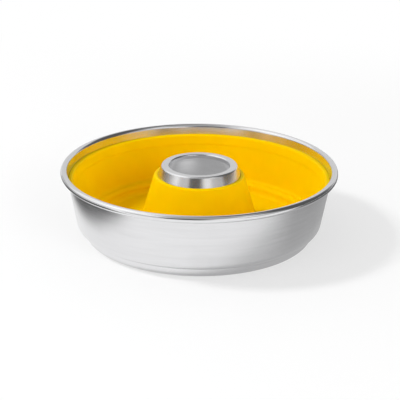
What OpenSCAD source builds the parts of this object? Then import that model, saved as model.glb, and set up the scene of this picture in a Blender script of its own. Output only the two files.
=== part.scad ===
// Ring cake tin of spun aluminium with a loose silicone liner.
// Origin: centre of the flat base, +Z up. All sizes in millimetres, all angles in degrees.
// Both pieces are sheets bent round the same axis. Each face of a sheet is one outline of
// straight runs and rounded corners, and the two faces of a sheet share every named size.

/* [Rim] */
// Outside diameter over the rolled rim
rim_d = 260; // [220:1:320]
// Height of the tin, from the base to the top of the rim
tin_h = 66; // [50:0.5:90]
// Thickness of the rolled bead
bead_d = 6.4; // [5:0.1:9]
// How far the sheet is rolled round the bead
curl_turn = 292; // [200:1:300]

/* [Tin] */
// Thickness of the aluminium sheet
sheet_t = 1; // [0.6:0.1:1.2]
// Outward lean of the wall from upright
wall_tilt = 10; // [4:0.5:14]
// Radius of the shoulder, outside
shoulder_r = 7; // [4:0.5:10]
// Width of the ledge from the end of the shoulder's curve to the foot
ledge_w = 1; // [0.9:0.1:4]
// Radius in the crease between ledge and foot
crease_r = 0.7; // [0.3:0.1:0.9]
// Height of the ledge above the base
foot_h = 9; // [7:0.5:14]
// Radius of the foot's bottom corner, outside
foot_corner_r = 4; // [2:0.5:5]

/* [Cone] */
// Height of the cone's flat top above the top of the rim
cone_rise = 1; // [-5:0.5:20]
// Diameter of the cone's flat top, measured to the sharp corner
cone_top_d = 72; // [66:0.5:90]
// Lean of the cone from upright
cone_tilt = 13.8; // [8:0.2:18]
// Radius of the edge round the flat top
cone_edge_r = 2; // [1.6:0.1:3]
// Radius where the cone meets the floor
cone_foot_r = 6; // [4:0.5:9]
// Diameter of the hole in the flat top
hole_d = 57; // [40:0.5:60]
// Radius of the edge of the hole
hole_edge_r = 1.4; // [1.2:0.1:2]
// Depth of the lip turned down into the hole
lip_h = 4; // [2.5:0.1:8]

/* [Liner] */
// Thickness of the silicone
liner_t = 3; // [2:0.1:4]
// Clearance between the silicone and the tin, except at the floor
liner_gap = 0.3; // [0.3:0.1:1]
// Depth of the liner's outer edge below the top of the rim
edge_drop = 9.4; // [7:0.2:20]
// Depth of the liner's inner edge below the cone's flat top
cone_edge_drop = 8.4; // [4:0.2:20]
// Depth of the stiffer band under the outer edge
band_h = 8.8; // [4:0.2:16]
// Extra thickness of the stiffer band
band_t = 0.5; // [0.2:0.1:1.2]
// Radius of the liner's edges
liner_edge_r = 1.1; // [0.4:0.1:1.4]
// Radius of the hollow over the shoulder, inside
liner_shoulder_r = 5; // [2:0.5:5]
// Radius of the step over the crease, inside
liner_step_r = 3; // [1:0.5:3]
// Radius of the hollow round the floor, inside
liner_floor_r = 5; // [3:0.5:8]
// Radius of the hollow round the foot of the cone, inside
liner_cone_r = 6; // [3:0.5:9]

/* [Hidden] */
$fn = 180;
// Largest turn between two points of a rounded corner
arc_step = 9;
bead_r = bead_d / 2;
bead_c = [rim_d / 2 - bead_r, tin_h - bead_r];
cone_h = tin_h + cone_rise;
liner_h = tin_h - edge_drop;
liner_cone_h = cone_h - cone_edge_drop;

// Radius of the cone at height z, on a face that lies d above the tin's inner face
function cone_r(z, d) = cone_top_d / 2 + (cone_h - z) * tan(cone_tilt) + d / cos(cone_tilt);

// Radius of the wall at height z, on a face that lies d above the tin's inner face
function wall_r(z, d) =
    bead_c.x - (bead_r + d) / cos(wall_tilt) - (bead_c.y - z) * tan(wall_tilt);

// Radius of the foot on a face that lies d above the tin's inner face. The foot is set in
// from the wall by the shoulder's curve and the ledge.
function foot_r(d) =
    wall_r(foot_h, -sheet_t) - shoulder_r * tan(45 - wall_tilt / 2) - ledge_w - sheet_t - d;

// Points of an arc of radius r round c, from angle a to angle b
function arc(c, r, a, b) =
    let (n = max(1, ceil(abs(b - a) / arc_step)))
    [for (i = [0:n]) let (t = a + (b - a) * i / n) c + r * [cos(t), sin(t)]];

// Shortest turn that leads from angle a to angle b
function turn(a, b) = let (t = b - a) t > 180 ? t - 360 : t < -180 ? t + 360 : t;

function unit(v) = v / norm(v);

function point(q) = [q[0], q[1]];

// Item i of a closed list
function item(q, i) = q[(i + len(q)) % len(q)];

// Half of the angle between the two sides that meet at corner i
function half_angle(q, i) =
    let (p = point(item(q, i)))
    acos(unit(point(item(q, i - 1)) - p) * unit(point(item(q, i + 1)) - p)) / 2;

// Length of side that the rounding of corner i takes
function setback(q, i) = item(q, i)[2] / tan(half_angle(q, i));

// Share of their roundings that corners i and i + 1 have room for on the side between them
function room(q, i) =
    let (
        side = norm(point(item(q, i + 1)) - point(item(q, i))),
        taken = setback(q, i) + setback(q, i + 1)
    )
    taken > side ? side / taken : 1;

// Arc that rounds corner i, no larger than its two sides have room for
function fillet(q, i) =
    let (
        p = point(q[i]),
        u = unit(point(item(q, i - 1)) - p),
        v = unit(point(item(q, i + 1)) - p),
        half = half_angle(q, i),
        r = q[i][2] * min(room(q, i - 1), room(q, i)),
        c = p + unit(u + v) * r / sin(half),
        from = p + u * r / tan(half) - c,
        to = p + v * r / tan(half) - c,
        start = atan2(from.y, from.x)
    )
    arc(c, r, start, start + turn(start, atan2(to.y, to.x)));

// Closed outline through corners given as [radius, height, rounding], 0 for a sharp one
function rounded(q) = [
    for (i = [0:len(q) - 1])
        each (q[i][2] == 0 ? [point(q[i])] : fillet(q, i))
];

function reversed(q) = [for (i = [len(q) - 1:-1:0]) q[i]];

// One face of the tin's sheet, d above its inner face, from the hole's lip to the rolled rim
function tin_face(d) =
    let (floor_z = sheet_t + d, ledge_z = foot_h + sheet_t + d)
    concat(
        rounded([
            [hole_d / 2 - d, cone_h - lip_h, 0],
            [hole_d / 2 - d, cone_h + d, hole_edge_r + d],
            [cone_r(cone_h + d, d), cone_h + d, cone_edge_r + d],
            [cone_r(floor_z, d), floor_z, cone_foot_r - d],
            [foot_r(d), floor_z, foot_corner_r - sheet_t - d],
            [foot_r(d), ledge_z, crease_r + sheet_t + d],
            [wall_r(ledge_z, d), ledge_z, shoulder_r - sheet_t - d],
            [wall_r(bead_c.y, d), bead_c.y, 0]
        ]),
        arc(bead_c, bead_r + d, 180 - wall_tilt, 180 - wall_tilt - curl_turn)
    );

// Corners of the liner's back: flat on the tin's floor, clear of the tin elsewhere
function liner_back() =
    let (d = liner_gap, ledge_z = foot_h + sheet_t + d)
    [
        [cone_r(liner_cone_h, d), liner_cone_h, liner_edge_r],
        [cone_r(sheet_t, d), sheet_t, cone_foot_r],
        [foot_r(d), sheet_t, foot_corner_r - sheet_t],
        [foot_r(d), ledge_z, crease_r + sheet_t + d],
        [wall_r(ledge_z, d), ledge_z, shoulder_r - sheet_t - d],
        [wall_r(liner_h, d), liner_h, liner_edge_r]
    ];

// Corners of the liner's face that holds the dough
function liner_front() =
    let (
        d = liner_gap + liner_t,
        floor_z = sheet_t + liner_t,
        ledge_z = foot_h + sheet_t + d,
        band_z = liner_h - band_h
    )
    [
        [cone_r(liner_cone_h, d), liner_cone_h, liner_edge_r],
        [cone_r(floor_z, d), floor_z, liner_cone_r],
        [foot_r(d), floor_z, liner_floor_r],
        [foot_r(d), ledge_z, liner_step_r],
        [wall_r(ledge_z, d), ledge_z, liner_shoulder_r],
        [wall_r(band_z - band_t, d), band_z - band_t, 0],
        [wall_r(band_z, d + band_t), band_z, 0],
        [wall_r(liner_h, d + band_t), liner_h, liner_edge_r]
    ];

module cake_tin() {
    color("gainsboro")
    rotate_extrude()
        polygon(concat(tin_face(0), reversed(tin_face(-sheet_t))));
}

module silicone_liner() {
    color("gold")
    rotate_extrude()
        polygon(rounded(concat(liner_back(), reversed(liner_front()))));
}

cake_tin();
silicone_liner();
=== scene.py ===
"""Ring cake tin of spun aluminium with a loose silicone liner, dressed for a studio view.

Both pieces are drawn as a section beside the axis, run by run and bend by bend, and spun round
the axis. Lengths are in metres and angles in radians.
"""

import math

import bpy
from mathutils import Matrix, Vector


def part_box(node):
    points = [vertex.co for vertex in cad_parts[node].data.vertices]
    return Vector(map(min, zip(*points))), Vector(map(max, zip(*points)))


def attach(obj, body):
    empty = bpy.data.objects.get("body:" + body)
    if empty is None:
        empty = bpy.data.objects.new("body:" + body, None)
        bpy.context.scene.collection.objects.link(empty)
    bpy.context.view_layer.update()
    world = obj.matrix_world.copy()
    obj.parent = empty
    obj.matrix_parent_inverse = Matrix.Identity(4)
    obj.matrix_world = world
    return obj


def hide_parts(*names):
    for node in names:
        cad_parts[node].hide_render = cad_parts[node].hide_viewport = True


bl_info = {
    "name": "Ring cake tin with liner",
    "version": (1, 0, 0),
    "blender": (4, 5, 0),
    "location": "View3D > Sidebar > Cake tin",
    "description": "Builds a ring cake tin, its silicone liner and a plain studio round them",
    "category": "Object",
}

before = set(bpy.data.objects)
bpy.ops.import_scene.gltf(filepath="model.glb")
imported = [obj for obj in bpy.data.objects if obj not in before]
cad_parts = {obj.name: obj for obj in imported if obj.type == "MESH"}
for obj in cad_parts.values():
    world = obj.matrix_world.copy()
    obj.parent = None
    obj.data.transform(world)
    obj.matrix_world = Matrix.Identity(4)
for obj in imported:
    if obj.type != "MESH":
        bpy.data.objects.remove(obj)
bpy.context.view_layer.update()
tin_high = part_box("cake_tin")[1]
liner_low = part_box("silicone_liner")[0]

MM = 0.001
# Turn between two points of a bend
BEND_STEP = math.radians(7.5)
# Points round the axis
RING_STEPS = 256
# Flat strip kept beside each bend, so that its shading doesn't run into the straight
STRAIGHT_EDGE = 0.4 * MM
# Points closer than this are one point
SAME_POINT = 0.001 * MM
# Faces that meet at less than this are shaded as one
SMOOTH_UNDER = math.radians(40)


class TinSizes(bpy.types.PropertyGroup):
    """Sizes of the spun tin. The food face of the sheet is the one that is measured."""

    rim_radius: bpy.props.FloatProperty(
        name="Rim radius",
        description="Radius over the rolled rim",
        default=tin_high.x,
        unit="LENGTH",
    )
    cone_top: bpy.props.FloatProperty(
        name="Cone height",
        description="Height of the cone's flat top above the base",
        default=tin_high.z,
        unit="LENGTH",
    )
    rim_top: bpy.props.FloatProperty(
        name="Rim height",
        description="Height of the rolled rim above the base",
        default=66 * MM,
        unit="LENGTH",
    )
    sheet: bpy.props.FloatProperty(
        name="Sheet",
        description="Thickness of the aluminium, which the liner lies on",
        default=liner_low.z,
        unit="LENGTH",
    )
    bead_radius: bpy.props.FloatProperty(
        name="Bead radius",
        description="Radius of the rolled bead",
        default=3.2 * MM,
        unit="LENGTH",
    )
    curl_turn: bpy.props.FloatProperty(
        name="Curl",
        description="How far the sheet is rolled round the bead",
        default=math.radians(292),
        subtype="ANGLE",
    )
    wall_tilt: bpy.props.FloatProperty(
        name="Wall tilt",
        description="Outward lean of the wall",
        default=math.radians(10),
        subtype="ANGLE",
    )
    shoulder: bpy.props.FloatProperty(
        name="Shoulder",
        description="Outside radius of the shoulder",
        default=7 * MM,
        unit="LENGTH",
    )
    ledge: bpy.props.FloatProperty(
        name="Ledge",
        description="Width of the ledge between the shoulder and the foot",
        default=1 * MM,
        unit="LENGTH",
    )
    crease: bpy.props.FloatProperty(
        name="Crease",
        description="Radius in the crease between ledge and foot",
        default=0.7 * MM,
        unit="LENGTH",
    )
    foot_height: bpy.props.FloatProperty(
        name="Foot height",
        description="Height of the ledge above the base",
        default=9 * MM,
        unit="LENGTH",
    )
    foot_corner: bpy.props.FloatProperty(
        name="Foot corner",
        description="Outside radius of the foot's bottom corner",
        default=4 * MM,
        unit="LENGTH",
    )
    cone_radius: bpy.props.FloatProperty(
        name="Cone radius",
        description="Radius of the cone's flat top",
        default=35.5 * MM,
        unit="LENGTH",
    )
    crown_depth: bpy.props.FloatProperty(
        name="Crown depth",
        description="Depth of the bare part of the cone, which leans back more than the rest",
        default=9.4 * MM,
        unit="LENGTH",
    )
    crown_tilt: bpy.props.FloatProperty(
        name="Crown tilt",
        description="Lean of the bare part of the cone",
        default=math.radians(20.3),
        subtype="ANGLE",
    )
    crown_bend: bpy.props.FloatProperty(
        name="Crown bend",
        description="Radius of the soft bend between the two leans of the cone",
        default=12 * MM,
        unit="LENGTH",
    )
    cone_tilt: bpy.props.FloatProperty(
        name="Cone tilt",
        description="Lean of the cone under the liner",
        default=math.radians(16.2),
        subtype="ANGLE",
    )
    cone_edge: bpy.props.FloatProperty(
        name="Cone edge",
        description="Radius of the edge round the cone's flat top",
        default=2 * MM,
        unit="LENGTH",
    )
    cone_foot: bpy.props.FloatProperty(
        name="Cone foot",
        description="Radius where the cone meets the floor",
        default=6 * MM,
        unit="LENGTH",
    )
    hole_radius: bpy.props.FloatProperty(
        name="Hole radius",
        description="Radius of the hole in the cone's flat top",
        default=28.5 * MM,
        unit="LENGTH",
    )
    hole_edge: bpy.props.FloatProperty(
        name="Hole edge",
        description="Radius of the edge of the hole",
        default=1.4 * MM,
        unit="LENGTH",
    )
    lip: bpy.props.FloatProperty(
        name="Lip",
        description="Depth of the lip turned down into the hole",
        default=4 * MM,
        unit="LENGTH",
    )

    def bead_centre(self):
        return Vector((self.rim_radius - self.bead_radius, self.rim_top - self.bead_radius))

    def crown_foot(self):
        """Radius and height where the cone changes its lean."""
        radius = self.cone_radius + self.crown_depth * math.tan(self.crown_tilt)
        return Vector((radius, self.cone_top - self.crown_depth))

    def cone_at(self, height, lift=0.0):
        """Radius of the cone under its crown, on a face that lies a lift above the food face."""
        crown = self.crown_foot()
        reach = crown.x + lift / math.cos(self.cone_tilt)
        return reach + (crown.y - height) * math.tan(self.cone_tilt)

    def wall_at(self, height, lift=0.0):
        """Radius of the wall, on a face that lies a lift above the food face."""
        bead = self.bead_centre()
        reach = (self.bead_radius + lift) / math.cos(self.wall_tilt)
        return bead.x - reach - (bead.y - height) * math.tan(self.wall_tilt)

    def foot_at(self, lift=0.0):
        """Radius of the foot, on a face that lies a lift above the food face."""
        curve = self.shoulder * math.tan(math.pi / 4 - self.wall_tilt / 2)
        outside = self.wall_at(self.foot_height, -self.sheet) - curve - self.ledge
        return outside - self.sheet - lift


class LinerSizes(bpy.types.PropertyGroup):
    """Sizes of the silicone liner."""

    thickness: bpy.props.FloatProperty(
        name="Thickness",
        description="Thickness of the silicone",
        default=3 * MM,
        unit="LENGTH",
    )
    clearance: bpy.props.FloatProperty(
        name="Clearance",
        description="Gap between the silicone and the tin, except at the floor",
        default=0.3 * MM,
        unit="LENGTH",
    )
    edge_clearance: bpy.props.FloatProperty(
        name="Edge clearance",
        description="Gap at the two edges, where the silicone springs against the tin",
        default=0.05 * MM,
        unit="LENGTH",
    )
    outer_edge: bpy.props.FloatProperty(
        name="Outer edge",
        description="Height of the outer edge above the base",
        default=56.6 * MM,
        unit="LENGTH",
    )
    inner_edge: bpy.props.FloatProperty(
        name="Inner edge",
        description="Height of the inner edge above the base",
        default=57.6 * MM,
        unit="LENGTH",
    )
    band_depth: bpy.props.FloatProperty(
        name="Band depth",
        description="Depth of the stiffer band under the outer edge",
        default=8.8 * MM,
        unit="LENGTH",
    )
    band_extra: bpy.props.FloatProperty(
        name="Band",
        description="Extra thickness of the stiffer band",
        default=0.5 * MM,
        unit="LENGTH",
    )
    band_fade: bpy.props.FloatProperty(
        name="Band fade",
        description="Height over which the band thins out below",
        default=1.8 * MM,
        unit="LENGTH",
    )
    band_edge: bpy.props.FloatProperty(
        name="Band edge",
        description="Radius at both ends of the band's fade",
        default=4 * MM,
        unit="LENGTH",
    )
    edge: bpy.props.FloatProperty(
        name="Edge",
        description="Radius of the edges in front",
        default=2.1 * MM,
        unit="LENGTH",
    )
    back_edge: bpy.props.FloatProperty(
        name="Back edge",
        description="Radius of the edges that lie against the metal",
        default=0.3 * MM,
        unit="LENGTH",
    )
    shoulder: bpy.props.FloatProperty(
        name="Shoulder",
        description="Radius of the hollow over the tin's shoulder",
        default=3.9 * MM,
        unit="LENGTH",
    )
    step: bpy.props.FloatProperty(
        name="Step",
        description="Radius of the step over the tin's crease",
        default=4.2 * MM,
        unit="LENGTH",
    )
    floor_hollow: bpy.props.FloatProperty(
        name="Floor hollow",
        description="Radius of the hollow round the floor",
        default=5 * MM,
        unit="LENGTH",
    )
    cone_hollow: bpy.props.FloatProperty(
        name="Cone hollow",
        description="Radius of the hollow round the foot of the cone",
        default=6 * MM,
        unit="LENGTH",
    )


class Finishes(bpy.types.PropertyGroup):
    """Colours and gloss of the two materials."""

    aluminium: bpy.props.FloatVectorProperty(
        name="Aluminium",
        description="Colour of the bare metal",
        subtype="COLOR",
        default=(0.79, 0.79, 0.8),
    )
    silicone: bpy.props.FloatVectorProperty(
        name="Silicone",
        description="Colour of the liner",
        subtype="COLOR",
        default=(0.915, 0.596, 0.0),
    )
    satin: bpy.props.FloatProperty(
        name="Satin",
        description="Roughness of the spun wall",
        default=0.2,
        min=0,
        max=1,
        subtype="FACTOR",
    )
    inside: bpy.props.FloatProperty(
        name="Inside",
        description="Roughness of the wall's inside, above the liner",
        default=0.16,
        min=0,
        max=1,
        subtype="FACTOR",
    )
    cone_top: bpy.props.FloatProperty(
        name="Cone top",
        description="Roughness of the cone above the liner",
        default=0.21,
        min=0,
        max=1,
        subtype="FACTOR",
    )
    polish: bpy.props.FloatProperty(
        name="Polish",
        description="Roughness of the polished rim",
        default=0.1,
        min=0,
        max=1,
        subtype="FACTOR",
    )


def unit(vector):
    return vector / vector.length


def bend_between(before, corner, after, radius):
    """First point, centre and turn of the bend that rounds a corner between two points."""
    back = unit(before - corner)
    ahead = unit(after - corner)
    half = math.acos(max(-1.0, min(1.0, back.dot(ahead)))) / 2
    centre = corner + unit(back + ahead) * radius / math.sin(half)
    start = corner + back * radius / math.tan(half)
    turn = math.pi - 2 * half
    if back.x * ahead.y - back.y * ahead.x > 0:
        turn = -turn
    return start, centre, turn


class SectionPen:
    """Draws the section of a piece beside the axis, as radius and height."""

    def __init__(self, name, start):
        bpy.ops.object.select_all(action="DESELECT")
        bpy.ops.mesh.primitive_plane_add(size=MM, location=(start.x, 0, start.y))
        self.piece = bpy.context.object
        self.piece.name = name
        self.piece.data.name = name
        bpy.ops.object.transform_apply(location=True, rotation=True, scale=True)
        bpy.ops.object.mode_set(mode="EDIT")
        bpy.ops.mesh.select_mode(type="VERT")
        bpy.ops.mesh.select_all(action="SELECT")
        bpy.ops.mesh.merge(type="CENTER")
        self.place = start.copy()

    def move(self, step):
        """Draws a straight edge from the place the pen is at."""
        bpy.ops.mesh.extrude_region_move(
            TRANSFORM_OT_translate={"value": (step.x, 0, step.y)}
        )
        self.place += step

    def run_to(self, end):
        """Straight run, which keeps a short strip at each end where it is long enough."""
        whole = end - self.place
        if whole.length < SAME_POINT:
            return
        if whole.length > 3 * STRAIGHT_EDGE:
            strip = unit(whole) * STRAIGHT_EDGE
            self.move(strip)
            self.move(whole - 2 * strip)
            self.move(strip)
        else:
            self.move(whole)

    def bend(self, centre, turn):
        """Round bend about a centre. A positive turn leads from outwards to upwards."""
        bpy.ops.mesh.spin(
            steps=max(2, math.ceil(abs(turn) / BEND_STEP)),
            angle=turn,
            center=(centre.x, 0, centre.y),
            axis=(0, 1, 0),
            use_auto_merge=False,
        )
        self.place = centre + Matrix.Rotation(turn, 2) @ (self.place - centre)

    def follow(self, corners):
        """Goes on through corners given as (radius, height, rounding), 0 for the last one."""
        points = [self.place] + [Vector(corner[:2]) for corner in corners]
        for i, corner in enumerate(corners, 1):
            if corner[2] > SAME_POINT:
                start, centre, turn = bend_between(
                    points[i - 1], points[i], points[i + 1], corner[2]
                )
                self.run_to(start)
                self.bend(centre, turn)
            else:
                self.run_to(points[i])

    def turn_round(self):
        """Spins the section round the axis, closes the ring and turns its faces outwards."""
        bpy.ops.mesh.select_all(action="SELECT")
        bpy.ops.mesh.remove_doubles(threshold=SAME_POINT)
        bpy.ops.mesh.select_all(action="SELECT")
        bpy.ops.mesh.spin(
            steps=RING_STEPS,
            angle=2 * math.pi,
            center=(0, 0, 0),
            axis=(0, 0, 1),
            use_auto_merge=False,
        )
        bpy.ops.mesh.select_all(action="SELECT")
        bpy.ops.mesh.remove_doubles(threshold=SAME_POINT)
        bpy.ops.mesh.normals_make_consistent(inside=False)
        bpy.ops.object.mode_set(mode="OBJECT")
        return self.piece


def floor_faces_up(piece):
    """True where the widest level face of a spun sheet looks upwards."""
    level = max(piece.data.polygons, key=lambda face: face.area * abs(face.normal.z))
    return level.normal.z > 0


class CAKETIN_OT_tin(bpy.types.Operator):
    """Spin the aluminium tin: lip, cone, floor, foot, shoulder, wall and rolled rim"""

    bl_idname = "caketin.tin"
    bl_label = "Tin"

    def execute(self, context):
        tin = context.scene.tin_sizes
        bead = tin.bead_centre()
        crown = tin.crown_foot()
        ledge_top = tin.foot_height + tin.sheet
        wall_end = bead + Matrix.Rotation(math.pi - tin.wall_tilt, 2) @ Vector(
            (tin.bead_radius, 0)
        )
        pen = SectionPen("tin", Vector((tin.hole_radius, tin.cone_top - tin.lip)))
        pen.follow(
            [
                (tin.hole_radius, tin.cone_top, tin.hole_edge),
                (tin.cone_radius, tin.cone_top, tin.cone_edge),
                (crown.x, crown.y, tin.crown_bend),
                (tin.cone_at(tin.sheet), tin.sheet, tin.cone_foot),
                (tin.foot_at(), tin.sheet, tin.foot_corner - tin.sheet),
                (tin.foot_at(), ledge_top, tin.crease + tin.sheet),
                (tin.wall_at(ledge_top), ledge_top, tin.shoulder - tin.sheet),
                (wall_end.x, wall_end.y, 0),
            ]
        )
        pen.bend(bead, -tin.curl_turn)
        piece = pen.turn_round()
        if not floor_faces_up(piece):
            bpy.ops.object.mode_set(mode="EDIT")
            bpy.ops.mesh.select_all(action="SELECT")
            bpy.ops.mesh.flip_normals()
            bpy.ops.object.mode_set(mode="OBJECT")
        sheet = piece.modifiers.new("Sheet", "SOLIDIFY")
        sheet.thickness = tin.sheet
        sheet.offset = -1
        sheet.use_even_offset = True
        bpy.ops.object.modifier_apply(modifier=sheet.name)
        bpy.ops.object.shade_smooth_by_angle(angle=SMOOTH_UNDER)
        piece.data.materials.append(spun_aluminium(context.scene.finishes, tin))
        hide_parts("cake_tin")
        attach(piece, "root")
        return {"FINISHED"}


class CAKETIN_OT_liner(bpy.types.Operator):
    """Spin the silicone liner, which follows the tin from the cone to under the rim"""

    bl_idname = "caketin.liner"
    bl_label = "Silicone liner"

    def execute(self, context):
        tin = context.scene.tin_sizes
        liner = context.scene.liner_sizes
        back = liner.clearance
        back_edge = liner.edge_clearance
        back_ledge = tin.foot_height + tin.sheet + back
        front = back + liner.thickness
        front_band = front + liner.band_extra
        front_floor = tin.sheet + liner.thickness
        front_ledge = tin.foot_height + tin.sheet + front
        band_top = liner.outer_edge - liner.band_depth
        band_foot = band_top - liner.band_fade
        start = Vector(((tin.cone_at(tin.sheet) + tin.foot_at()) / 2, tin.sheet))
        pen = SectionPen("liner", start)
        pen.follow(
            [
                (tin.foot_at(back), tin.sheet, tin.foot_corner - tin.sheet),
                (tin.foot_at(back), back_ledge, tin.crease + tin.sheet + back),
                (tin.wall_at(back_ledge, back), back_ledge, tin.shoulder - tin.sheet - back),
                (tin.wall_at(liner.outer_edge, back_edge), liner.outer_edge, liner.back_edge),
                (tin.wall_at(liner.outer_edge, front_band), liner.outer_edge, liner.edge),
                (tin.wall_at(band_top, front_band), band_top, liner.band_edge),
                (tin.wall_at(band_foot, front), band_foot, liner.band_edge),
                (tin.wall_at(front_ledge, front), front_ledge, liner.shoulder),
                (tin.foot_at(front), front_ledge, liner.step),
                (tin.foot_at(front), front_floor, liner.floor_hollow),
                (tin.cone_at(front_floor, front), front_floor, liner.cone_hollow),
                (tin.cone_at(liner.inner_edge, front), liner.inner_edge, liner.edge),
                (tin.cone_at(liner.inner_edge, back_edge), liner.inner_edge, liner.back_edge),
                (tin.cone_at(tin.sheet, back), tin.sheet, tin.cone_foot),
                (start.x, start.y, 0),
            ]
        )
        piece = pen.turn_round()
        bpy.ops.object.shade_smooth_by_angle(angle=SMOOTH_UNDER)
        piece.data.materials.append(food_silicone(context.scene.finishes))
        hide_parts("silicone_liner")
        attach(piece, "root")
        return {"FINISHED"}


class Nodes:
    """Adds nodes to a material or a world, and joins them."""

    def __init__(self, owner):
        owner.use_nodes = True
        self.tree = owner.node_tree
        self.tree.nodes.clear()

    def add(self, kind, inputs=None, **settings):
        node = self.tree.nodes.new(kind)
        for name, value in settings.items():
            setattr(node, name, value)
        for name, value in (inputs or {}).items():
            if isinstance(value, bpy.types.NodeSocket):
                self.tree.links.new(value, node.inputs[name])
            else:
                node.inputs[name].default_value = value
        return node

    def maths(self, operation, first, second=0.0):
        return self.add("ShaderNodeMath", {0: first, 1: second}, operation=operation).outputs[0]

    def length(self, vector):
        node = self.add("ShaderNodeVectorMath", {0: vector}, operation="LENGTH")
        return node.outputs["Value"]

    def blend(self, share, first, second):
        """Mix of two numbers."""
        return self.add("ShaderNodeMix", {0: share, 2: first, 3: second}).outputs[0]

    def tint(self, share, first, second):
        """Mix of two colours."""
        node = self.add("ShaderNodeMix", {0: share, 6: first, 7: second}, data_type="RGBA")
        return node.outputs[2]

    def between(self, value, low, high):
        """0 below low, 1 above high and smooth between them."""
        return self.add(
            "ShaderNodeMapRange",
            {"Value": value, "From Min": low, "From Max": high},
            interpolation_type="SMOOTHSTEP",
        ).outputs["Result"]

    def noise(self, place, scale, detail, roughness):
        return self.add(
            "ShaderNodeTexNoise",
            {"Vector": place, "Scale": scale, "Detail": detail, "Roughness": roughness},
        ).outputs["Fac"]

    def bump(self, height, strength, depth, under=None):
        """Normal of a bump, laid over the one under it."""
        inputs = {"Height": height, "Strength": strength, "Distance": depth}
        if under is not None:
            inputs["Normal"] = under
        return self.add("ShaderNodeBump", inputs).outputs["Normal"]


def colour(value, share=1.0):
    """Colour for a socket, darkened or lightened by a share."""
    return (value[0] * share, value[1] * share, value[2] * share, 1.0)


WHITE = colour((1, 1, 1))
# Smoother zones of the tin: how far the cone's goes down from its flat top and out from the top's
# edge, how far the bead's goes in from the rim, and how softly they and the wall's inside end
CONE_ZONE_DEPTH = 10 * MM
CONE_ZONE_WIDTH = 4 * MM
CONE_ZONE_FADE = 2 * MM
BEAD_ZONE_WIDTH = 6 * MM
BEAD_ZONE_FADE = 0.4 * MM
WALL_ZONE_FADE = 0.1 * MM
# Rings of the lathe: how fast the fine and the broad ones follow each other across the sheet,
# and how much they drift on their way round
FINE_RINGS = 1400
BROAD_RINGS = 260
RING_DRIFT = 1.6
# How often the metal's smudges and ripples and the silicone's marks change in a metre
SMUDGES = 28
RIPPLES = 90
CLOUDS = 22
WAVES = 60
GRAIN = 900
# How far roughness goes down or up with the rings, and up in the smudges
RING_SPREAD = 0.04
SMUDGE_SPREAD = 0.06
# Darkest and lightest metal in the rings, the smudges' metal and how much of it they take
RING_SHADES = (0.965, 1.01)
SMUDGE_SHADE = 0.93
SMUDGE_SHARE = 0.35
# Values of the noise between which the rings change shade, the smudges gain roughness and the
# smudges darken
RING_RANGE = (0.3, 0.7)
SMUDGE_RANGE = (0.35, 0.75)
STAIN_RANGE = (0.55, 0.8)
# Depth of the bumps, and their share of it: rings on satin and on polished metal, ripples on the
# tin and on its cone's top, grain and waves on the silicone
RING_DEPTH = 0.05 * MM
RING_BUMP = (0.06, 0.02)
RIPPLE_DEPTH = 0.6 * MM
RIPPLE_BUMP = (0.02, 0.04)
GRAIN_DEPTH = 0.08 * MM
WAVE_DEPTH = 0.5 * MM
SKIN_BUMP = 0.12
# How much less the inside of the wall leans than its outside, where the rim was rolled
INSIDE_LEAN = math.radians(1.6)
# Darkest and lightest silicone in the clouds, the noise between them, and the silicone's least
# and greatest roughness
CLOUD_SHADES = (0.97, 1.03)
CLOUD_RANGE = (0.3, 0.7)
CLOUD_ROUGHNESS = (0.4, 0.56)


def lathe_rings(n, round_way, across, pace, detail, roughness):
    """Noise that changes fast across the sheet and hardly at all round the axis."""
    drift = n.add(
        "ShaderNodeVectorMath",
        {0: round_way, 1: (RING_DRIFT, RING_DRIFT, 0)},
        operation="MULTIPLY",
    ).outputs[0]
    axes = n.add("ShaderNodeSeparateXYZ", {0: drift}).outputs
    place = n.add(
        "ShaderNodeCombineXYZ",
        {"X": axes["X"], "Y": axes["Y"], "Z": n.maths("MULTIPLY", across, pace)},
    ).outputs[0]
    return n.noise(place, 1.0, detail, roughness)


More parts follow.
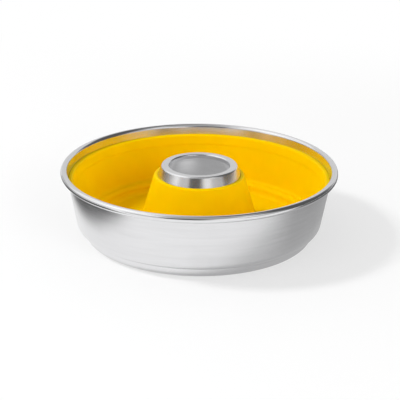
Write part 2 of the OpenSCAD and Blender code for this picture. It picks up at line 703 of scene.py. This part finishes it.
def spun_aluminium(finishes, tin):
    """Aluminium turned on a lathe: satin with rings, smoother on rim, cone top and inside."""
    material = bpy.data.materials.new("spun_aluminium")
    n = Nodes(material)
    place = n.add("ShaderNodeTexCoord").outputs["Object"]
    axes = n.add("ShaderNodeSeparateXYZ", {0: place}).outputs
    height = axes["Z"]
    flat = n.add("ShaderNodeCombineXYZ", {"X": axes["X"], "Y": axes["Y"]}).outputs[0]
    radius = n.length(flat)
    round_way = n.add("ShaderNodeVectorMath", {0: flat}, operation="NORMALIZE").outputs[0]

    # The smoother zones: cone above the liner, bead, and inside of the wall
    cone_low = tin.cone_top - CONE_ZONE_DEPTH
    cone_side = tin.cone_radius + CONE_ZONE_WIDTH
    cone_zone = n.maths(
        "MULTIPLY",
        n.between(height, cone_low - CONE_ZONE_FADE, cone_low),
        n.between(radius, cone_side + CONE_ZONE_FADE, cone_side),
    )
    bead_side = tin.rim_radius - BEAD_ZONE_WIDTH
    bead_zone = n.between(radius, bead_side - BEAD_ZONE_FADE, bead_side)
    wall_line = n.maths("MULTIPLY", height, math.tan(tin.wall_tilt))
    off_wall = n.maths("SUBTRACT", radius, wall_line)
    mid_sheet = tin.wall_at(0, -tin.sheet / 2)
    inside_zone = n.between(off_wall, mid_sheet + WALL_ZONE_FADE, mid_sheet - WALL_ZONE_FADE)
    polished = n.maths("MAXIMUM", cone_zone, n.maths("MAXIMUM", bead_zone, inside_zone))

    across = n.maths("ADD", radius, height)
    fine_rings = lathe_rings(n, round_way, across, FINE_RINGS, 3.0, 0.6)
    broad_rings = lathe_rings(n, round_way, across, BROAD_RINGS, 2.0, 0.5)
    smudges = n.noise(place, SMUDGES, 4.0, 0.6)
    ripples = n.noise(place, RIPPLES, 1.0, 0.4)

    satin = n.blend(broad_rings, finishes.satin - RING_SPREAD, finishes.satin + RING_SPREAD)
    satin = n.blend(n.between(smudges, *SMUDGE_RANGE), satin, finishes.satin + SMUDGE_SPREAD)
    gloss = n.blend(smudges, finishes.polish - RING_SPREAD, finishes.polish + SMUDGE_SPREAD)
    roughness = n.blend(inside_zone, satin, finishes.inside)
    roughness = n.blend(cone_zone, roughness, finishes.cone_top)
    roughness = n.blend(bead_zone, roughness, gloss)
    dark, light = (colour(finishes.aluminium, share) for share in RING_SHADES)
    smudged = colour(finishes.aluminium, SMUDGE_SHADE)
    shade = n.tint(n.between(broad_rings, *RING_RANGE), dark, light)
    smudge_share = n.maths("MULTIPLY", n.between(smudges, *STAIN_RANGE), SMUDGE_SHARE)
    shade = n.tint(smudge_share, shade, smudged)

    normal = n.bump(height, inside_zone, math.tan(INSIDE_LEAN))
    normal = n.bump(fine_rings, n.blend(polished, *RING_BUMP), RING_DEPTH, normal)
    normal = n.bump(ripples, n.blend(cone_zone, *RIPPLE_BUMP), RIPPLE_DEPTH, normal)
    shader = n.add(
        "ShaderNodeBsdfPrincipled",
        {
            "Base Color": shade,
            "Metallic": 1.0,
            "Roughness": roughness,
            "Anisotropic": 0.7,
            "Anisotropic Rotation": 0.25,
            "Normal": normal,
            "Tangent": n.add("ShaderNodeTangent", axis="Z").outputs[0],
        },
    )
    n.add("ShaderNodeOutputMaterial", {"Surface": shader.outputs[0]})
    return material


def food_silicone(finishes):
    """Cast silicone: matt, a little see-through at thin edges, with a faint uneven skin."""
    material = bpy.data.materials.new("food_silicone")
    n = Nodes(material)
    place = n.add("ShaderNodeTexCoord").outputs["Object"]
    clouds = n.noise(place, CLOUDS, 3.0, 0.55)
    grain = n.noise(place, GRAIN, 2.0, 0.6)
    waves = n.noise(place, WAVES, 1.0, 0.4)
    dark, light = (colour(finishes.silicone, share) for share in CLOUD_SHADES)
    normal = n.bump(grain, SKIN_BUMP, GRAIN_DEPTH)
    normal = n.bump(waves, SKIN_BUMP, WAVE_DEPTH, normal)
    shader = n.add(
        "ShaderNodeBsdfPrincipled",
        {
            "Base Color": n.tint(n.between(clouds, *CLOUD_RANGE), dark, light),
            "Roughness": n.blend(clouds, *CLOUD_ROUGHNESS),
            "Normal": normal,
            "IOR": 1.41,
            "Specular IOR Level": 0.02,
            "Subsurface Weight": 0.3,
            "Subsurface Radius": (1.0, 0.4, 0.05),
            "Subsurface Scale": 2.5 * MM,
        },
    )
    n.add("ShaderNodeOutputMaterial", {"Surface": shader.outputs[0]})
    return material


def towards(azimuth, elevation):
    """Direction from the object, its azimuth in degrees to the right of the camera."""
    a = math.radians(azimuth)
    e = math.radians(elevation)
    return Vector((math.sin(a) * math.cos(e), -math.cos(a) * math.cos(e), math.sin(e)))


# Far cards round the tin that only the metal mirrors: azimuth and elevation of the middle, width
# and height as angles, all in degrees, and brightness
CARDS = {
    "camera_card": (-12, 18, 58.8, 36, 0.1),
    "upper_card": (5, 52, 64.8, 54, 0.38),
    "left_card": (-42, 8, 45.6, 40, 0.6),
    "left_low": (-108, 0, 91.2, 24, 0.15),
    "key_card": (-88, 50, 48, 40, 1.25),
    "right_card": (50, 6, 48, 40, 0.5),
    "side_card": (100, 30, 91.2, 84, 0.1),
    "high_card": (150, 60, 52.8, 44, 0.1),
    "top_card": (40, 80, 60, 50, 0.42),
    "back_card": (180, 16, 115.2, 60, 0.72),
}
# Cards that lie flat beside the tin: middle, turn in degrees, width and length, widths of their
# soft edges across and along, and brightness
LYING_CARDS = {
    "near_left": ((-0.32, 0.052, 0.5 * MM), 8, 0.34, 0.555, 0.034, 0.1, 0.1),
    # Painted shadow: a grey sheet on the floor to the tin's right, darkening the floor that the
    # metal mirrors there
    "painted_shadow_right": ((0.17, 0.03, 0.5 * MM), 0, 0.4, 0.4, 0.1, 0.1, 0.42),
    "far_right": ((0.585, 0.33, 1 * MM), 0, 0.83, 1.0, 0.08, 0.09, 0.1),
}
# Round cards that lie under the tin's foot and in the hollow of its cone, which only the metal
# mirrors:
# a painted contact shadow round the foot, and painted shade and a painted lighter patch in the
# cone's hollow. Each has its middle, radius of the full part, radius at which it has faded out,
# and brightness
ROUND_CARDS = {
    # Painted contact shadow: a darker disc round the foot, which the foot and the low wall mirror
    "painted_contact_shadow": ((0.018, 0.004, 0.7 * MM), 0.108, 0.13, 0.5),
    # Painted shade: a darker disc on the floor in the cone's hollow, mirrored by the inside of
    # the cone
    "hollow": ((0, 0, 0.8 * MM), 0.044, 0.046, 0.42),
    # Painted light: a lighter patch at one side of the hollow, mirrored by the inside of the cone
    "painted_hollow_light": ((0.028, 0, 0.9 * MM), 0.004, 0.034, 0.78),
}
# Distance of the far cards from the axis
CARD_REACH = 2.2
# Share of a far card's width that fades out at each side, and of its height at top and bottom
SIDE_FADE = 0.34
END_FADE = 0.2
# Light that the white room gives at its horizon and overhead, and the heights in it between
# which the one turns into the other
HORIZON_LIGHT = 0.96
OVERHEAD_LIGHT = 0.5
HORIZON_END = 0.1
OVERHEAD_START = 0.9
# Side of the floor, how far it lies under the tin, and how light its paper is
FLOOR_SIZE = 6
FLOOR_DROP = 0.1 * MM
FLOOR_PAPER = 0.93
# Share of plain white in the floor round the tin, which thins its shadow, and the distances from
# the axis between which the floor turns all white
WHITE_FLOOR = 0.5
FLOOR_NEAR = 0.3
FLOOR_FAR = 0.8
# Lamps: place, side of the square and power, and the point that they face
LAMPS = {
    "key": ((-1.75, -0.05, 1.9), 0.45, 32),
    "fill": ((1.3, -1.9, 0.9), 1.2, 16),
}
LAMP_TARGET = (0, 0, 0.03)
# The camera, fitted to the outline of the rim, the base and the wall in the photograph, and how
# far it sees
CAMERA_PLACE = (0, -1.11778, 0.46954)
CAMERA_TARGET = (0.0009, 0, 0.03105)
CAMERA_ROLL = 0.0092
CAMERA_LENS = 113.73
CAMERA_SENSOR = 36
CAMERA_REACH = 20


def card_paper(name, brightness, fades):
    """Paper of a set brightness, which fades out over a share of the card's size at its edges.

    Two shares, across and along, make a square card, and one share makes a round one.
    """
    material = bpy.data.materials.new(name)
    n = Nodes(material)
    place = n.add("ShaderNodeTexCoord").outputs["Object"]
    if len(fades) == 1:
        off_middle = [n.length(place)]
    else:
        axes = n.add("ShaderNodeSeparateXYZ", {0: place}).outputs
        off_middle = [n.maths("ABSOLUTE", axes[axis]) for axis in ("X", "Y")]
    cover = 1.0
    for distance, fade in zip(off_middle, fades):
        cover = n.maths("MULTIPLY", n.between(distance, 0.5, 0.5 - fade), cover)
    paper = n.add("ShaderNodeEmission", {"Color": WHITE, "Strength": brightness})
    clear = n.add("ShaderNodeBsdfTransparent")
    mix = n.add("ShaderNodeMixShader", {0: cover, 1: clear.outputs[0], 2: paper.outputs[0]})
    n.add("ShaderNodeOutputMaterial", {"Surface": mix.outputs[0]})
    return material


def add_card(name, place, turn, width, height, fades, brightness):
    """Card that only the metal mirrors, lying level until it is turned."""
    bpy.ops.mesh.primitive_plane_add(size=1, location=place, rotation=(0, 0, turn))
    card = bpy.context.object
    card.name = name
    card.scale = (width, height, 1)
    card.data.materials.append(card_paper(name, brightness, fades))
    card.visible_camera = False
    card.visible_diffuse = False
    card.visible_shadow = False
    return card


def add_far_card(name, azimuth, elevation, wide, high, brightness):
    width, height = (2 * CARD_REACH * math.tan(math.radians(a / 2)) for a in (wide, high))
    place = towards(azimuth, elevation) * CARD_REACH
    card = add_card(name, place, 0, width, height, (SIDE_FADE, END_FADE), brightness)
    aim(card, (0, 0, 0))


def add_lying_card(name, place, turn, width, length, soft_across, soft_along, brightness):
    fades = (soft_across / width, soft_along / length)
    add_card(name, place, math.radians(turn), width, length, fades, brightness)


def add_round_card(name, place, full, gone, brightness):
    fades = ((gone - full) / (2 * gone),)
    add_card(name, place, 0, 2 * gone, 2 * gone, fades, brightness)


def pale_floor():
    """Paper floor that keeps the shadow of what stands on it and is white further off."""
    material = bpy.data.materials.new("paper_floor")
    n = Nodes(material)
    place = n.add("ShaderNodeTexCoord").outputs["Object"]
    share = n.blend(n.between(n.length(place), FLOOR_NEAR, FLOOR_FAR), WHITE_FLOOR, 1.0)
    share = n.maths("MULTIPLY", seen_directly(n), share)
    paper = n.add("ShaderNodeBsdfDiffuse", {"Color": colour(WHITE, FLOOR_PAPER)})
    white = n.add("ShaderNodeEmission", {"Color": WHITE, "Strength": 1.0})
    mix = n.add("ShaderNodeMixShader", {0: share, 1: paper.outputs[0], 2: white.outputs[0]})
    n.add("ShaderNodeOutputMaterial", {"Surface": mix.outputs[0]})
    return material


def seen_directly(n):
    """1 for what the camera sees, also in metal or through glass, and 0 for the light given."""
    rays = n.add("ShaderNodeLightPath").outputs
    seen = n.maths("MAXIMUM", rays["Is Camera Ray"], rays["Is Glossy Ray"])
    return n.maths("MAXIMUM", seen, rays["Is Transmission Ray"])


def aim(thing, target, roll=0.0):
    """Turns a card, a lamp or the camera towards a point."""
    away = Vector(target) - thing.location
    turn = away.to_track_quat("-Z", "Y").to_matrix() @ Matrix.Rotation(roll, 3, "Z")
    thing.rotation_euler = turn.to_euler()


def add_lamp(name, place, size, power):
    bpy.ops.object.light_add(type="AREA", location=place)
    lamp = bpy.context.object
    lamp.name = name
    lamp.data.name = name
    lamp.data.shape = "SQUARE"
    lamp.data.size = size
    lamp.data.energy = power
    lamp.visible_glossy = False
    aim(lamp, LAMP_TARGET)


class CAKETIN_OT_studio(bpy.types.Operator):
    """Set up the camera, the pale floor, the lamps and the room that the metal mirrors"""

    bl_idname = "caketin.studio"
    bl_label = "Studio"

    def execute(self, context):
        scene = context.scene
        scene.view_settings.view_transform = "Standard"

        bpy.ops.object.camera_add(location=CAMERA_PLACE)
        camera = context.object
        camera.name = "camera"
        camera.data.sensor_width = CAMERA_SENSOR
        camera.data.lens = CAMERA_LENS
        camera.data.clip_end = CAMERA_REACH
        aim(camera, CAMERA_TARGET, CAMERA_ROLL)
        scene.camera = camera

        bpy.ops.mesh.primitive_plane_add(size=FLOOR_SIZE, location=(0, 0, -FLOOR_DROP))
        floor = context.object
        floor.name = "floor"
        floor.data.materials.append(pale_floor())

        for name, lamp in LAMPS.items():
            add_lamp(name, *lamp)
        for name, card in CARDS.items():
            add_far_card(name, *card)
        for name, card in LYING_CARDS.items():
            add_lying_card(name, *card)
        for name, card in ROUND_CARDS.items():
            add_round_card(name, *card)

        world = bpy.data.worlds.new("room")
        scene.world = world
        n = Nodes(world)
        direction = n.add("ShaderNodeTexCoord").outputs["Generated"]
        up = n.add("ShaderNodeSeparateXYZ", {0: direction}).outputs["Z"]
        overhead = n.between(up, HORIZON_END, OVERHEAD_START)
        given = n.blend(overhead, HORIZON_LIGHT, OVERHEAD_LIGHT)
        strength = n.blend(seen_directly(n), given, 1.0)
        room = n.add("ShaderNodeBackground", {"Color": WHITE, "Strength": strength})
        n.add("ShaderNodeOutputWorld", {"Surface": room.outputs[0]})
        return {"FINISHED"}


class CAKETIN_PT_sidebar(bpy.types.Panel):
    """Lists the steps that build the tin, the liner and the studio"""

    bl_idname = "CAKETIN_PT_sidebar"
    bl_label = "Cake tin"
    bl_space_type = "VIEW_3D"
    bl_region_type = "UI"
    bl_category = "Cake tin"

    def draw(self, context):
        layout = self.layout
        scene = context.scene
        for step in STEPS:
            layout.operator(step.bl_idname)
        for group in (scene.tin_sizes, scene.liner_sizes, scene.finishes):
            column = layout.column()
            for name in group.bl_rna.properties.keys():
                if name not in ("rna_type", "name"):
                    column.prop(group, name)


STEPS = (CAKETIN_OT_tin, CAKETIN_OT_liner, CAKETIN_OT_studio)
CLASSES = (TinSizes, LinerSizes, Finishes) + STEPS + (CAKETIN_PT_sidebar,)


def register():
    for cls in CLASSES:
        bpy.utils.register_class(cls)
    bpy.types.Scene.tin_sizes = bpy.props.PointerProperty(type=TinSizes)
    bpy.types.Scene.liner_sizes = bpy.props.PointerProperty(type=LinerSizes)
    bpy.types.Scene.finishes = bpy.props.PointerProperty(type=Finishes)


def unregister():
    del bpy.types.Scene.finishes
    del bpy.types.Scene.liner_sizes
    del bpy.types.Scene.tin_sizes
    for cls in reversed(CLASSES):
        bpy.utils.unregister_class(cls)


def main():
    register()
    bpy.ops.caketin.tin()
    bpy.ops.caketin.liner()
    bpy.ops.caketin.studio()


if __name__ == "__main__":
    main()
